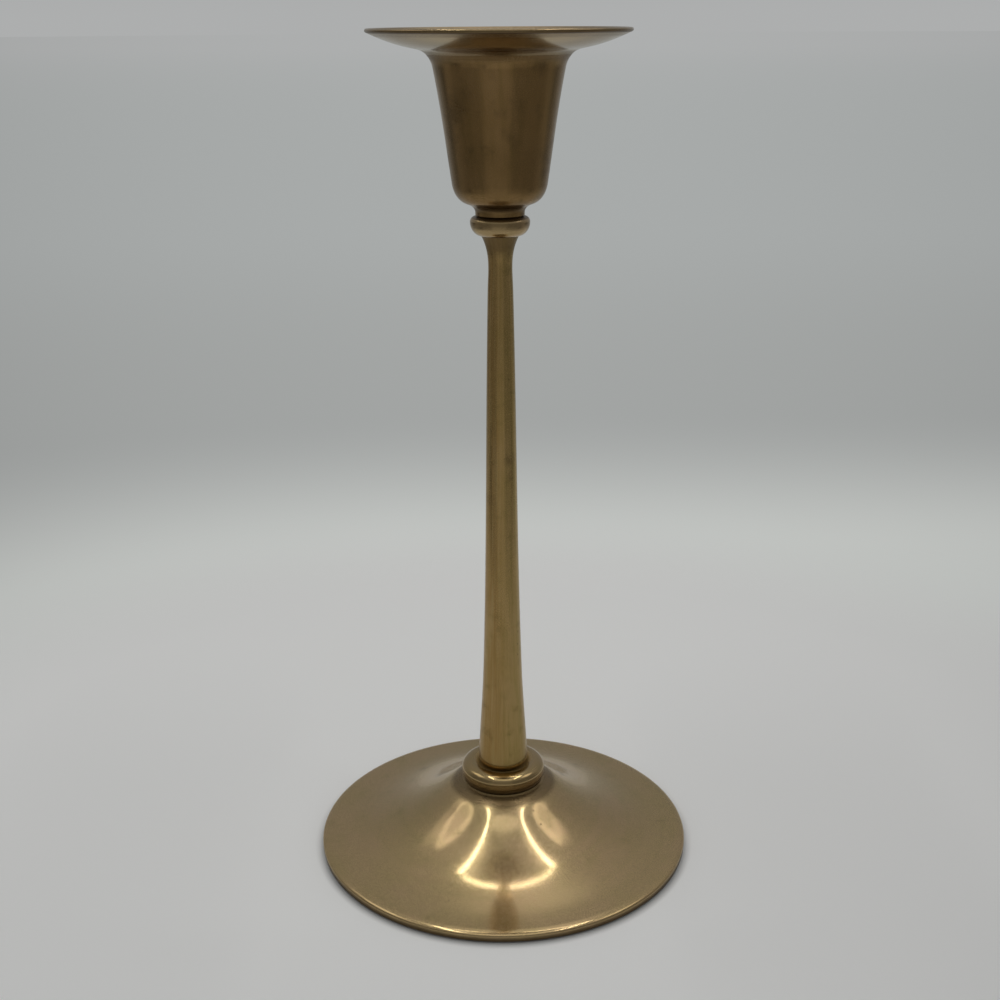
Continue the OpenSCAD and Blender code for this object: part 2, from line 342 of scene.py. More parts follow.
class Bench:
    """A node tree under construction, with the few recipes that the finishes share."""

    def __init__(self, tree: bpy.types.NodeTree) -> None:
        """Empties the tree."""
        self.tree = tree
        tree.nodes.clear()

    def node(self, kind: str, settings: dict, inputs: dict) -> bpy.types.Node:
        """Makes one node.

        Args:
            kind: The node's type.
            settings: Its own settings, or stops for a ramp, set before the inputs.
            inputs: Values or sockets by the input's name or number.

        Returns:
            The node.
        """
        made = self.tree.nodes.new(kind)
        for key, value in settings.items():
            if key == "stops":
                ramp = made.color_ramp.elements
                while len(ramp) < len(value):
                    ramp.new(1.0)
                for stop, (at, colour) in zip(ramp, value):
                    stop.position, stop.color = at, (*colour, 1)
            else:
                setattr(made, key, value)
        for key, value in inputs.items():
            socket = made.inputs[key]
            if isinstance(value, Socket):
                self.tree.links.new(value.socket, socket)
            elif socket.type == "RGBA":
                socket.default_value = (*value, 1)
            else:
                socket.default_value = value
        return made

    def add(self, kind: str, settings: dict, inputs: dict, output: Union[int, str] = 0) -> Socket:
        """Makes one node and returns one of its outputs."""
        return Socket(self, self.node(kind, settings, inputs).outputs[output])

    def split(self, kind: str, settings: dict, inputs: dict) -> tuple[Socket, ...]:
        """Makes one node and returns all its outputs."""
        return tuple(Socket(self, out) for out in self.node(kind, settings, inputs).outputs)

    def place(self) -> tuple[Socket, Socket, Socket, Socket]:
        """The piece's own coordinates.

        Returns:
            The point as a vector, then x, y and z, all in millimetres.
        """
        own = self.add("ShaderNodeTexCoord", {}, {}, "Object")
        point = self.vmath("SCALE", own, scale=1 / MM)
        return point, *self.split("ShaderNodeSeparateXYZ", {}, {0: point})

    def vector(self, x: Input, y: Input, z: Input) -> Socket:
        """Three values as one vector."""
        return self.add("ShaderNodeCombineXYZ", {}, {0: x, 1: y, 2: z})

    def vmath(
        self, operation: str, a: Input, b: Optional[Input] = None, scale: Optional[Input] = None
    ) -> Socket:
        """One Vector Math node.

        Args:
            operation: The node's operation.
            a: First vector.
            b: Second vector, if the operation takes one.
            scale: Factor, if the operation takes one.

        Returns:
            The vector, or the value of a product or distance.
        """
        inputs = {0: a}
        if b is not None:
            inputs[1] = b
        if scale is not None:
            inputs["Scale"] = scale
        output = "Value" if operation in ("DOT_PRODUCT", "DISTANCE") else "Vector"
        return self.add("ShaderNodeVectorMath", {"operation": operation}, inputs, output)

    def noise(self, vector: Socket, scale: float, detail: float, rough: float = 0.5) -> Socket:
        """Smooth noise about 0.5."""
        inputs = {"Vector": vector, "Scale": scale, "Detail": detail, "Roughness": rough}
        return self.add("ShaderNodeTexNoise", {"noise_dimensions": "3D"}, inputs)

    def rise(self, value: Input, low: float, high: float) -> Socket:
        """A smooth step.

        Args:
            value: What it follows.
            low: Where it is 0.
            high: Where it is 1, which may be the smaller of the two.

        Returns:
            A value from 0 to 1.
        """
        settings = {"interpolation_type": "SMOOTHSTEP"}
        inputs = {"Value": value, "From Min": low, "From Max": high}
        return self.add("ShaderNodeMapRange", settings, inputs)

    def line(self, point: Socket, start: Place, end: Place) -> Socket:
        """Distance from a straight line.

        Args:
            point: The place that is asked about, in millimetres.
            start: One end of the line.
            end: Its other end.

        Returns:
            The distance in millimetres.
        """
        run = Vector(end) - Vector(start)
        share = self.vmath("DOT_PRODUCT", self.vmath("SUBTRACT", point, start), tuple(run))
        share = (share * (1 / run.length_squared)).clamped()
        foot = self.vmath("ADD", self.vmath("SCALE", tuple(run), scale=share), start)
        return self.vmath("DISTANCE", point, foot)

    def mix(self, share: Input, first: Input, second: Input) -> Socket:
        """A colour between two colours."""
        inputs = {"Factor": share, 6: first, 7: second}
        return self.add("ShaderNodeMix", {"data_type": "RGBA"}, inputs, 2)

    def grey(self, value: Input) -> Socket:
        """A value as a neutral colour."""
        return self.add("ShaderNodeCombineColor", {}, {0: value, 1: value, 2: value})

    def tinted(self, value: Input, colour: Input) -> Socket:
        """A colour scaled by a value.

        Args:
            value: The factor.
            colour: The colour.

        Returns:
            The scaled colour.
        """
        inputs = {"Factor": 1.0, 6: self.grey(value), 7: colour}
        settings = {"data_type": "RGBA", "blend_type": "MULTIPLY"}
        return self.add("ShaderNodeMix", settings, inputs, 2)

    def bump(self, height: Socket, depth: float, normal: Optional[Socket] = None) -> Socket:
        """A surface relief.

        Args:
            height: Its pattern, from 0 to 1.
            depth: Its depth, in metres.
            normal: The relief that it lies on, if there is one.

        Returns:
            The surface's normal.
        """
        inputs = {"Height": height, "Strength": 1.0, "Distance": depth}
        if normal:
            inputs["Normal"] = normal
        return self.add("ShaderNodeBump", {}, inputs)

    def clear(self) -> Socket:
        """A shader that isn't there."""
        return self.add("ShaderNodeBsdfTransparent", {}, {})

    def glow(self, colour: Input, strength: float = 1.0) -> Socket:
        """A shader that shines of itself."""
        return self.add("ShaderNodeEmission", {}, {"Color": colour, "Strength": strength})

    def blend(self, share: Socket, first: Socket, second: Socket) -> Socket:
        """A shader between two shaders."""
        return self.add("ShaderNodeMixShader", {}, {0: share, 1: first, 2: second})

    def seen(self) -> Socket:
        """1 for what the camera sees, also in metal and through glass, 0 for what is lit."""
        path = self.node("ShaderNodeLightPath", {}, {}).outputs
        kinds = ("Is Camera Ray", "Is Glossy Ray", "Is Transmission Ray")
        camera, glossy, through = (Socket(self, path[kind]) for kind in kinds)
        return (camera + glossy + through).clamped()

    def finish(self, shader: Socket, use: Use = Use.MATERIAL) -> None:
        """Joins a shader to the tree's output."""
        self.node(use.value, {}, {"Surface": shader})


def blank(name: str) -> tuple[bpy.types.Material, Bench]:
    """Starts a material.

    Args:
        name: Its name.

    Returns:
        The material, and the bench with its empty tree.
    """
    made = bpy.data.materials.new(name)
    made.use_nodes = True
    return made, Bench(made.node_tree)


# Finishes


class Lay(Enum):
    """Which way the tool marks run: how fast their pattern changes round and along the piece."""

    ROUND = (0.9, 1.0)
    UPRIGHT = (7.0, 0.035)


@dataclass(frozen=True)
class Hollow:
    """A ring of painted shade with dark patina among a finish's marks, of dried polish among its
    crusts: its radius and height, how far it reaches, how strong.
    """

    radius: float
    height: float
    reach: float
    strength: float = 1.0
    core_share: float = 0.15
    ragged_share: float = 0.5

    def on(self, skin: "Skin") -> Socket:
        """How dark it makes each place of a surface.

        Args:
            skin: The piece's surface.

        Returns:
            The ring's strength at its middle, 0 out of its uneven reach.
        """
        gap = ((skin.radius - self.radius) ** 2 + (skin.z - self.height) ** 2) ** 0.5
        gap = gap - skin.patch * (self.reach * self.ragged_share)
        return skin.bench.rise(gap, self.reach, self.reach * self.core_share) * self.strength


@dataclass(frozen=True)
class Stain:
    """A single dark mark at a place on the piece, in millimetres."""

    at: Place
    reach: float
    strength: float = 0.6
    core_share: float = 0.2

    def on(self, skin: "Skin") -> Socket:
        """How dark it makes each place of a surface.

        Args:
            skin: The piece's surface.

        Returns:
            The stain's strength at its middle, where it isn't worn away.
        """
        away = skin.bench.vmath("DISTANCE", skin.point, self.at)
        spot = skin.bench.rise(away, self.reach, self.reach * self.core_share)
        return spot * skin.worn * self.strength


@dataclass(frozen=True)
class Scratch:
    """A straight scratch between two places on the piece, in millimetres."""

    start: Place
    end: Place
    width: float = 0.12
    strength: float = 0.5
    core_share: float = 0.3

    def on(self, skin: "Skin") -> Socket:
        """How dark it makes each place of a surface.

        Args:
            skin: The piece's surface.

        Returns:
            The scratch's strength along its middle, rough with grit.
        """
        away = skin.bench.line(skin.point, self.start, self.end)
        mark = skin.bench.rise(away, self.width, self.width * self.core_share)
        return mark * (0.5 + skin.grit) * self.strength


Mark = Union[Hollow, Stain, Scratch]


@dataclass(frozen=True)
class Tones:
    """The colours that a finish wanders between: its body, its warm clouds, its green streaks."""

    body: Colour
    warm: Colour
    olive: Colour


FOOT_BRONZE = Tones((0.415, 0.308, 0.155), (0.44, 0.315, 0.172), (0.34, 0.272, 0.12))
COLLAR_BRONZE = Tones((0.345, 0.250, 0.120), (0.375, 0.265, 0.140), (0.285, 0.225, 0.095))
STEM_BRONZE = Tones((0.375, 0.263, 0.103), (0.410, 0.286, 0.124), (0.300, 0.228, 0.078))
RING_BRONZE = Tones((0.385, 0.283, 0.142), (0.410, 0.290, 0.158), (0.315, 0.250, 0.110))
CUP_BRONZE = Tones((0.255, 0.160, 0.064), (0.290, 0.185, 0.080), (0.205, 0.134, 0.048))
PAN_BRONZE = Tones((0.350, 0.257, 0.131), (0.373, 0.267, 0.147), (0.285, 0.228, 0.102))
SCREW_BRASS = Tones((0.54, 0.41, 0.20), (0.56, 0.42, 0.22), (0.42, 0.33, 0.14))
SLEEVE_BRASS = Tones((0.48, 0.36, 0.18), (0.51, 0.375, 0.20), (0.38, 0.30, 0.13))
PLATED_STEEL = Tones((0.44, 0.42, 0.39), (0.47, 0.44, 0.40), (0.36, 0.33, 0.28))


@dataclass(frozen=True)
class OldMetal:
    """Turned brass that has darkened with age, with the marks of its making and its use, and with
    painted shade in its hollows.

    The scales of the patterns are in features per millimetre, the depths of the reliefs are in
    metres, and a range is where a pattern sets in and where it is full.
    """

    name: str
    tones: Tones
    # the dark colour that tarnished places and the painted shade of the hollows take, and how much
    # they dull and roughen the metal
    tarnish_and_shade: Colour = (0.075, 0.045, 0.018)
    tarnish_and_shade_dull: float = 0.25
    tarnish_and_shade_rough: float = 0.25
    roughness: float = 0.12
    cloud_rough: float = 0.06
    patch_rough: float = 0.05
    grain_rough: float = 0.05
    lay: Lay = Lay.ROUND
    streaks: float = 0.2
    patch_streaks: float = 0.3
    lines: float = 0.3
    line_pale: float = 0.3
    line_rough: float = 0.08
    short_run: Range = (3.2, 3.1)
    short_scale: float = 1.9
    long_run: Range = (1.1, 4.3)
    long_scale: float = 1.7
    spots: float = 0.5
    clouds: float = 0.5
    cloud_dark: float = 0.55
    cloud_from: float = 0.60
    cloud_blur: float = 0.26
    marks: tuple[Mark, ...] = ()
    crusts: tuple[Hollow, ...] = ()
    crust_tone: Colour = (0.34, 0.215, 0.06)
    crust_speckle: float = 0.6
    crust_dull: float = 0.9
    crust_rough: float = 0.4
    ruddy: float = 0.0
    ruddy_tone: Colour = (0.350, 0.200, 0.070)
    matt: float = 0.30
    matt_scale: float = 11.0
    cloud_scale: float = 0.045
    patch_scale: float = 0.16
    grit_scale: float = 1.4
    coarse_scale: float = 1.3
    fine_scale: float = 7.0
    speck_scale: float = 0.42
    speck_reach: float = 0.12
    speck_edge: Range = (0.03, -0.02)
    speckless: float = 0.72
    warm_range: Range = (0.35, 0.68)
    green_range: Range = (0.42, 0.70)
    patch_range: Range = (0.50, 0.70)
    blush_range: Range = (0.36, 0.58)
    blush_x: Range = (3.0, -3.5)
    matt_range: Range = (0.51, 0.57)
    worn_range: Range = (0.40, 0.62)
    crust_range: Range = (0.34, 0.56)
    short_range: Range = (0.69, 0.75)
    long_range: Range = (0.70, 0.76)
    coarse_share: float = 0.45
    outline_share: float = 0.8
    mark_depth: float = 1.2e-6
    pit_depth: float = 4e-6

    def specks(self, skin: "Skin") -> Socket:
        """Few small dark specks of uneven size.

        Args:
            skin: The piece's surface.

        Returns:
            1 in a speck, 0 elsewhere.
        """
        bench, bare = skin.bench, self.speckless
        inputs = {"Vector": skin.point, "Scale": self.speck_scale}
        cells = bench.node("ShaderNodeTexVoronoi", {}, inputs)
        away, tone = (Socket(bench, cells.outputs[key]) for key in ("Distance", "Color"))
        chance = bench.split("ShaderNodeSeparateColor", {}, {0: tone})[0]
        size = bench.rise(chance, bare, 1.0) * self.speck_reach
        speck = bench.rise(away - size * (0.6 + skin.grit * 0.8), *self.speck_edge)
        return speck * bench.rise(chance, bare - 0.02, bare + 0.02)

    def hairlines(self, skin: "Skin") -> Socket:
        """Fine scratches round the piece, short ones and long ones.

        Args:
            skin: The piece's surface.

        Returns:
            1 in a scratch, 0 elsewhere.
        """
        bench = skin.bench
        short = bench.noise(skin.wound(*self.short_run), self.short_scale, 1, 0.4)
        long = bench.noise(skin.wound(*self.long_run), self.long_scale, 1, 0.4)
        return bench.rise(short, *self.short_range).larger(bench.rise(long, *self.long_range))

    def tarnish_and_painted_shade(self, skin: "Skin") -> Socket:
        """Tarnish in clouds, stains and scratches, and painted shade in the placed hollows.

        Args:
            skin: The piece's surface.

        Returns:
            0 where the metal is bright, 1 where it is black.
        """
        cloud = skin.bench.rise(skin.patch, self.cloud_from, self.cloud_from + self.cloud_blur)
        dark = cloud * (self.clouds * self.cloud_dark)
        for mark in self.marks:
            dark = dark.larger(mark.on(skin))
        return dark

    def colour(self, skin: "Skin", dark: Socket, hair: Socket) -> Socket:
        """The metal's colour.

        Args:
            skin: The piece's surface.
            dark: How tarnished it is, and how much painted shade it has.
            hair: Where it is scratched.

        Returns:
            The colour with all the marks in it.
        """
        bench, tones = skin.bench, self.tones
        colour = bench.mix(bench.rise(skin.cloud, *self.warm_range), tones.body, tones.warm)
        green = bench.rise(skin.coarse, *self.green_range) * self.streaks
        green = green + bench.rise(skin.patch, *self.patch_range) * self.patch_streaks
        colour = bench.mix(green.clamped(), colour, tones.olive)
        # redder on the left, in streaks
        streaks = bench.rise(skin.coarse, *self.blush_range)
        blush = streaks * bench.rise(skin.x, *self.blush_x)
        colour = bench.mix(blush * self.ruddy, colour, self.ruddy_tone)
        # tarnished places and the painted shade of the hollows take the dark colour
        colour = bench.mix(dark, colour, self.tarnish_and_shade)
        pale = tuple(min(1.0, 1.25 * c + 0.03) for c in tones.warm)
        return bench.mix(hair * self.line_pale, colour, pale)

    def rough(self, skin: "Skin", dark: Socket, hair: Socket) -> Socket:
        """The metal's roughness.

        Args:
            skin: The piece's surface.
            dark: How tarnished it is, and how much painted shade it has.
            hair: Where it is scratched.

        Returns:
            The roughness, which may pass 1 where much comes together.
        """
        rough = self.roughness + (skin.cloud - 0.5) * self.cloud_rough
        rough = rough + (skin.patch - 0.5) * self.patch_rough
        rough = rough + (skin.fine - 0.5) * self.grain_rough
        rough = rough + dark * self.tarnish_and_shade_rough + hair * self.line_rough
        # spots of matt tarnish, too small to be seen singly, which spread the light
        spots = skin.bench.noise(skin.point, self.matt_scale, 0)
        return rough + skin.bench.rise(spots, *self.matt_range) * self.matt

    def relief(self, skin: "Skin", speck: Socket, hair: Socket) -> Socket:
        """The tool marks, the scratches and the pits.

        Args:
            skin: The piece's surface.
            speck: Where it is pitted.
            hair: Where it is scratched.

        Returns:
            The surface's normal.
        """
        bench, share = skin.bench, self.coarse_share
        normal = bench.bump(skin.coarse * share + skin.fine * (1 - share), self.mark_depth)
        normal = bench.bump(1 - hair, self.mark_depth, normal)
        return bench.bump(1 - speck * 0.8 + skin.grit * 0.2, self.pit_depth, normal)

    def material(self) -> bpy.types.Material:
        """Builds the finish.

        Returns:
            A material whose patterns read the piece's own coordinates.
        """
        made, bench = blank(self.name)
        skin = Skin(bench, self)
        speck, hair = self.specks(skin), self.hairlines(skin) * self.lines
        dark = self.tarnish_and_painted_shade(skin).larger(speck * self.spots).clamped()
        colour, rough = self.colour(skin, dark, hair), self.rough(skin, dark, hair)
        metal = 1 - dark * self.tarnish_and_shade_dull
        # dried polish in a recess: dull, speckled, lit by the lamps where the metal is black
        for ring in self.crusts:
            speckle = bench.rise(skin.grit, *self.crust_range) * self.crust_speckle
            crust = ring.on(skin) * (speckle + (1 - self.crust_speckle))
            colour = bench.mix(crust.clamped(), colour, self.crust_tone)
            metal = metal * (1 - crust * self.crust_dull)
            rough = rough + crust * self.crust_rough
        inputs = {
            "Base Color": colour,
            "Metallic": metal.clamped(),
            "Roughness": rough.clamped(),
            "Normal": self.relief(skin, speck, hair),
        }
        bench.finish(bench.add("ShaderNodeBsdfPrincipled", {}, inputs))
        return made


class Skin:
    """A piece's surface as its finish reads it: places in millimetres, noises about 0.5."""

    def __init__(self, bench: Bench, metal: OldMetal) -> None:
        """Lays out the places and the noises.

        Args:
            bench: The tree under construction.
            metal: The finish, which says how its patterns run and how coarse they are.
        """
        self.bench = bench
        self.point, self.x, self.y, self.z = bench.place()
        self.radius = (self.x * self.x + self.y * self.y) ** 0.5
        self.along = self.radius * metal.outline_share + self.z
        grain = self.wound(*metal.lay.value)
        self.coarse = bench.noise(grain, metal.coarse_scale, 3, 0.6)
        self.fine = bench.noise(grain, metal.fine_scale, 3, 0.7)
        self.cloud = bench.noise(self.point, metal.cloud_scale, 4, 0.55)
        self.patch = bench.noise(self.point, metal.patch_scale, 4, 0.6)
        self.grit = bench.noise(self.point, metal.grit_scale, 3, 0.6)
        self.worn = bench.rise(self.grit * 0.4 + self.patch * 0.6, *metal.worn_range)

    def wound(self, across: float, slow: float) -> Socket:
        """Coordinates for marks round or along the piece, without a seam.

        Args:
            across: How fast they run round the piece.
            slow: How fast they run along its outline.

        Returns:
            The coordinates as a vector.
        """
        x, y = self.x / self.radius * across, self.y / self.radius * across
        return self.bench.vector(x, y, self.along * slow)


# The pieces


Row = tuple[str, str, OldMetal, Callable[[], bpy.types.Object]]


def dress_all(rows: tuple[Row, ...], body: str) -> None:
    """Builds pieces in order and hands each to the frame.

    Args:
        rows: For each piece its node, its slot, its finish and the method that makes it.
        body: The body that they ride on.
    """
    for node, slot, finish, make in rows:
        piece = make()
        piece.data.materials.clear()
        piece.data.materials.append(finish.material())
        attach(piece, body)
        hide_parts(node)
        log.info("%s stands for %s, %d faces", piece.name, node, len(piece.data.polygons))


@dataclass
class Foot:
    """The hollow foot plate, its collar and the fasteners under it."""

    base_d: float = 119.2
    base_h: float = 21.3
    edge_t: float = 2.0
    roll_w: float = 3.4
    roll_h: float = 1.15
    wall: float = 1.7
    land_w: float = 2.4
    undercut_w: float = 0.9
    undercut_h: float = 0.5
    step_h: float = 0.5
    step_w: float = 0.6
    boss_d: float = 20.0
    boss_t: float = 4.3
    seat_slope: float = 12.0
    waist_slope: float = 36.0
    brim_slope: float = 18.0
    edge_slope: float = 5.5
    waist_shares: Point = (0.178, 0.763)
    brim_shares: Point = (0.607, 0.21)
    collar_d: float = 26.9
    collar_h: float = 6.3
    belly_h: float = 3.9
    tuck: float = 1.3
    crown_w: float = 3.3
    recess_depth: float = 1.2
    stem_r: float = 7.9
    stud_d: float = 6.0
    stud_bite: float = 16.0
    stud_end: float = 1.4
    stud_chamfer: float = 0.5
    thread_depth: float = 0.55
    thread_pitch: float = 1.0
    nut_af: float = 10.0
    nut_h: float = 5.0
    nut_mouth: float = 0.45
    nut_crown: float = 0.12
    washer_d: float = 14.0
    washer_t: float = 1.6
    shank_gap: float = 0.25
    thread_gap: float = 0.05
    worn_edge: float = 0.1
    stamped_edge: float = 0.25
    rings_per_pitch: int = 10

    @property
    def seat_r(self) -> float:
        """Radius of the collar's seat."""
        return self.collar_d / 2 - self.tuck + self.step_w

    @property
    def boss_z(self) -> float:
        """Height of the boss's lower face."""
        return self.base_h - self.boss_t

    @property
    def nut_z(self) -> float:
        """Height of the nut's lower face."""
        return self.boss_z - self.washer_t - self.nut_h

    @property
    def recess_z(self) -> float:
        """Height of the recess in the collar, where the stem stands."""
        return self.base_h + self.collar_h - self.recess_depth

    @property
    def hole_r(self) -> float:
        """Radius of the holes that the stud passes through."""
        return self.stud_d / 2 + self.shank_gap

    def on_flare(self, shares: Point) -> Point:
        """A point of the plate's upper side.

        Args:
            shares: Its shares of the flare's width and height.

        Returns:
            The point.
        """
        width = self.base_d / 2 - self.seat_r
        height = self.base_h - self.step_h - self.edge_t
        return self.seat_r + shares[0] * width, self.edge_t + shares[1] * height

    def plate(self) -> bpy.types.Object:
        """The hollow foot plate with its rolled edge."""
        edge_r = self.base_d / 2
        waist, brim = self.on_flare(self.waist_shares), self.on_flare(self.brim_shares)
        roll = (edge_r - self.roll_w, self.edge_t)
        fall = self.roll_w * tan(radians(self.edge_slope))
        turn = degrees(atan2(self.roll_h, fall))
        edge = arc(roll, self.roll_w, self.roll_h, turn, 0, 30)
        seat = (self.seat_r, self.base_h - self.step_h)
        top = curve(seat, -self.seat_slope, waist, -self.waist_slope, 42)
        top += curve(waist, -self.waist_slope, brim, -self.brim_slope, 80)[1:]
        top += curve(brim, -self.brim_slope, edge[0], -self.edge_slope, 50)[1:]
        land_r, boss_r = edge_r - self.land_w, self.boss_d / 2
        lower = reversed(beside(top[::3], self.wall))
        under = [p for p in lower if boss_r < p[0] < land_r]
        outline = [(self.hole_r, self.base_h), (self.seat_r, self.base_h), *top, *edge[1:]]
        outline += [(edge_r, self.undercut_h), (edge_r - self.undercut_w, 0), (land_r, 0)]
        outline += [*under, (boss_r, under[-1][1])]
        outline += [(boss_r, self.boss_z), (self.hole_r, self.boss_z)]
        return spun("foot_plate_turned", eased(outline[::-1], self.worn_edge), Sides.WIDE)

    def collar(self) -> bpy.types.Object:
        """The moulded collar between the foot plate and the stem."""
        rim_r, foot_r = self.collar_d / 2, self.collar_d / 2 - self.tuck
        crown_h = self.collar_h - self.belly_h
        fall = degrees(acos((crown_h - self.recess_depth) / crown_h))
        belly_z = self.base_h + self.belly_h
        outline = [(self.hole_r, self.base_h), (foot_r, self.base_h)]
        outline += curve((foot_r, self.base_h), self.waist_slope, (rim_r, belly_z), 90, 24)[1:]
        crown = (rim_r - self.crown_w, belly_z)
        outline += arc(crown, self.crown_w, crown_h, 0, 90 + fall, 48)[1:]
        outline += [(self.hole_r, self.recess_z)]
        return spun("collar_turned", eased(outline[::-1], self.worn_edge), Sides.BROAD)

    def stud(self) -> bpy.types.Object:
        """The threaded stud that holds the foot to the stem."""
        r, low = self.stud_d / 2, self.nut_z - self.stud_end
        high, chamfer = self.recess_z + self.stud_bite, self.stud_chamfer
        length = high - low - 2 * chamfer
        rings = ceil(self.rings_per_pitch * length / self.thread_pitch)
        wall = [(r, low + chamfer + length * n / rings) for n in range(rings + 1)]
        outline = [(0, low), (r - chamfer, low), *wall, (r - chamfer, high), (0, high)]
        piece = spun("foot_stud_threaded", outline[::-1], Sides.STUD)
        Thread(r, self.thread_depth, self.thread_pitch, low, high).cut(piece)
        return piece

    def washer(self) -> bpy.types.Object:
        """The washer under the boss."""
        r, low, high = self.washer_d / 2, self.boss_z - self.washer_t, self.boss_z
        outline = [(self.hole_r, low), (r, low), (r, high), (self.hole_r, high)]
        return spun("foot_washer_stamped", eased(outline[::-1], self.stamped_edge), Sides.SMALL)

    def nut(self) -> bpy.types.Object:
        """The hexagonal nut, chamfered on both sides."""
        low, high = self.nut_z, self.nut_z + self.nut_h
        flat, corner = self.nut_af / 2, self.nut_af / 2 / cos(HEX_HALF)
        bpy.ops.object.select_all(action="DESELECT")
        bpy.ops.mesh.primitive_cylinder_add(
            vertices=6,
            radius=corner * MM,
            depth=self.nut_h * MM,
            location=(0, 0, (low + high) / 2 * MM),
            rotation=(0, 0, HEX_HALF),
        )
        piece = bpy.context.active_object
        piece.name = piece.data.name = "foot_nut_chamfered"
        bpy.ops.object.transform_apply(location=True, rotation=True, scale=True)
        slope = (corner - flat) * tan(HEX_HALF) + self.nut_crown
        hole, mouth, face = self.stud_d / 2 + self.thread_gap, self.nut_mouth, flat - self.worn_edge
        outline = [(hole + mouth, low), (face, low), (corner, low + slope)]
        outline += [(corner, high - slope), (face, high), (hole + mouth, high)]
        outline += [(hole, high - mouth), (hole, low + mouth)]
        carve(piece, spun("nut_blank", outline[::-1], Sides.SMALL), Cut.INSIDE)
        return piece

    def dress(self) -> None:
        """Builds and finishes the pieces of the foot."""
        seat_z = self.base_h - self.step_h
        plate_finish = OldMetal(
            "aged_bronze_foot",
            FOOT_BRONZE,
            roughness=0.115,
            streaks=0.25,
            marks=(
                # painted shade round the collar's seat, together with the darker patina there
                Hollow(self.seat_r + 2.0, seat_z - 0.7, 2.9, 0.66),
                # painted reflection of the shaded paper on the lower part of the edge face
                Hollow(self.base_d / 2, 0.2, 1.8, 0.85),
                Stain((-21.3, 15.9, 12.9), 4.2, 0.6),
                Stain((-27.7, 31.3, 6.0), 3.2, 0.5),
                Stain((-15.0, -1.2, 19.9), 1.8, 0.5),
                Stain((-11.9, 37.6, 6.7), 2.6, 0.4),
                Stain((19.0, 10.7, 16.1), 3.4, 0.55),
                Stain((25.4, 32.8, 6.1), 3.2, 0.4),
                Scratch((50.2, -0.5, 4.0), (58.9, 2.0, 2.4), 0.22, 0.6),
                Scratch((-41.0, -21.5, 4.9), (-37.5, -25.0, 4.9), 0.16, 0.3),
                Scratch((33.0, -31.0, 4.6), (29.5, -34.6, 4.6), 0.15, 0.3),
            ),
        )
        collar_finish = OldMetal(
            "aged_bronze_collar",
            COLLAR_BRONZE,
            roughness=0.095,
            matt=0.16,
            # painted shade on the lower belly, where the collar meets the plate
            marks=(Hollow(self.collar_d / 2 - self.tuck, self.base_h, 2.0, 0.7),),
            crusts=(Hollow(self.stem_r - 0.2, self.recess_z, 1.9, 1.0),),
        )
        nut_finish = OldMetal(
            "screw_brass", SCREW_BRASS, roughness=0.27, streaks=0.3, clouds=0.8
        )
        steel = OldMetal(
            "fastener_steel",
            PLATED_STEEL,
            tarnish_and_shade=(0.10, 0.07, 0.045),
            roughness=0.30,
            spots=0.8,
            clouds=0.9,
        )
        rows = (
            ("foot_plate", "aged_bronze", plate_finish, self.plate),
            ("collar", "aged_bronze", collar_finish, self.collar),
            ("foot_stud", "fastener_steel", steel, self.stud),
            ("foot_washer", "screw_brass", nut_finish, self.washer),
            ("foot_nut", "screw_brass", nut_finish, self.nut),
        )
        dress_all(rows, "candlestick")


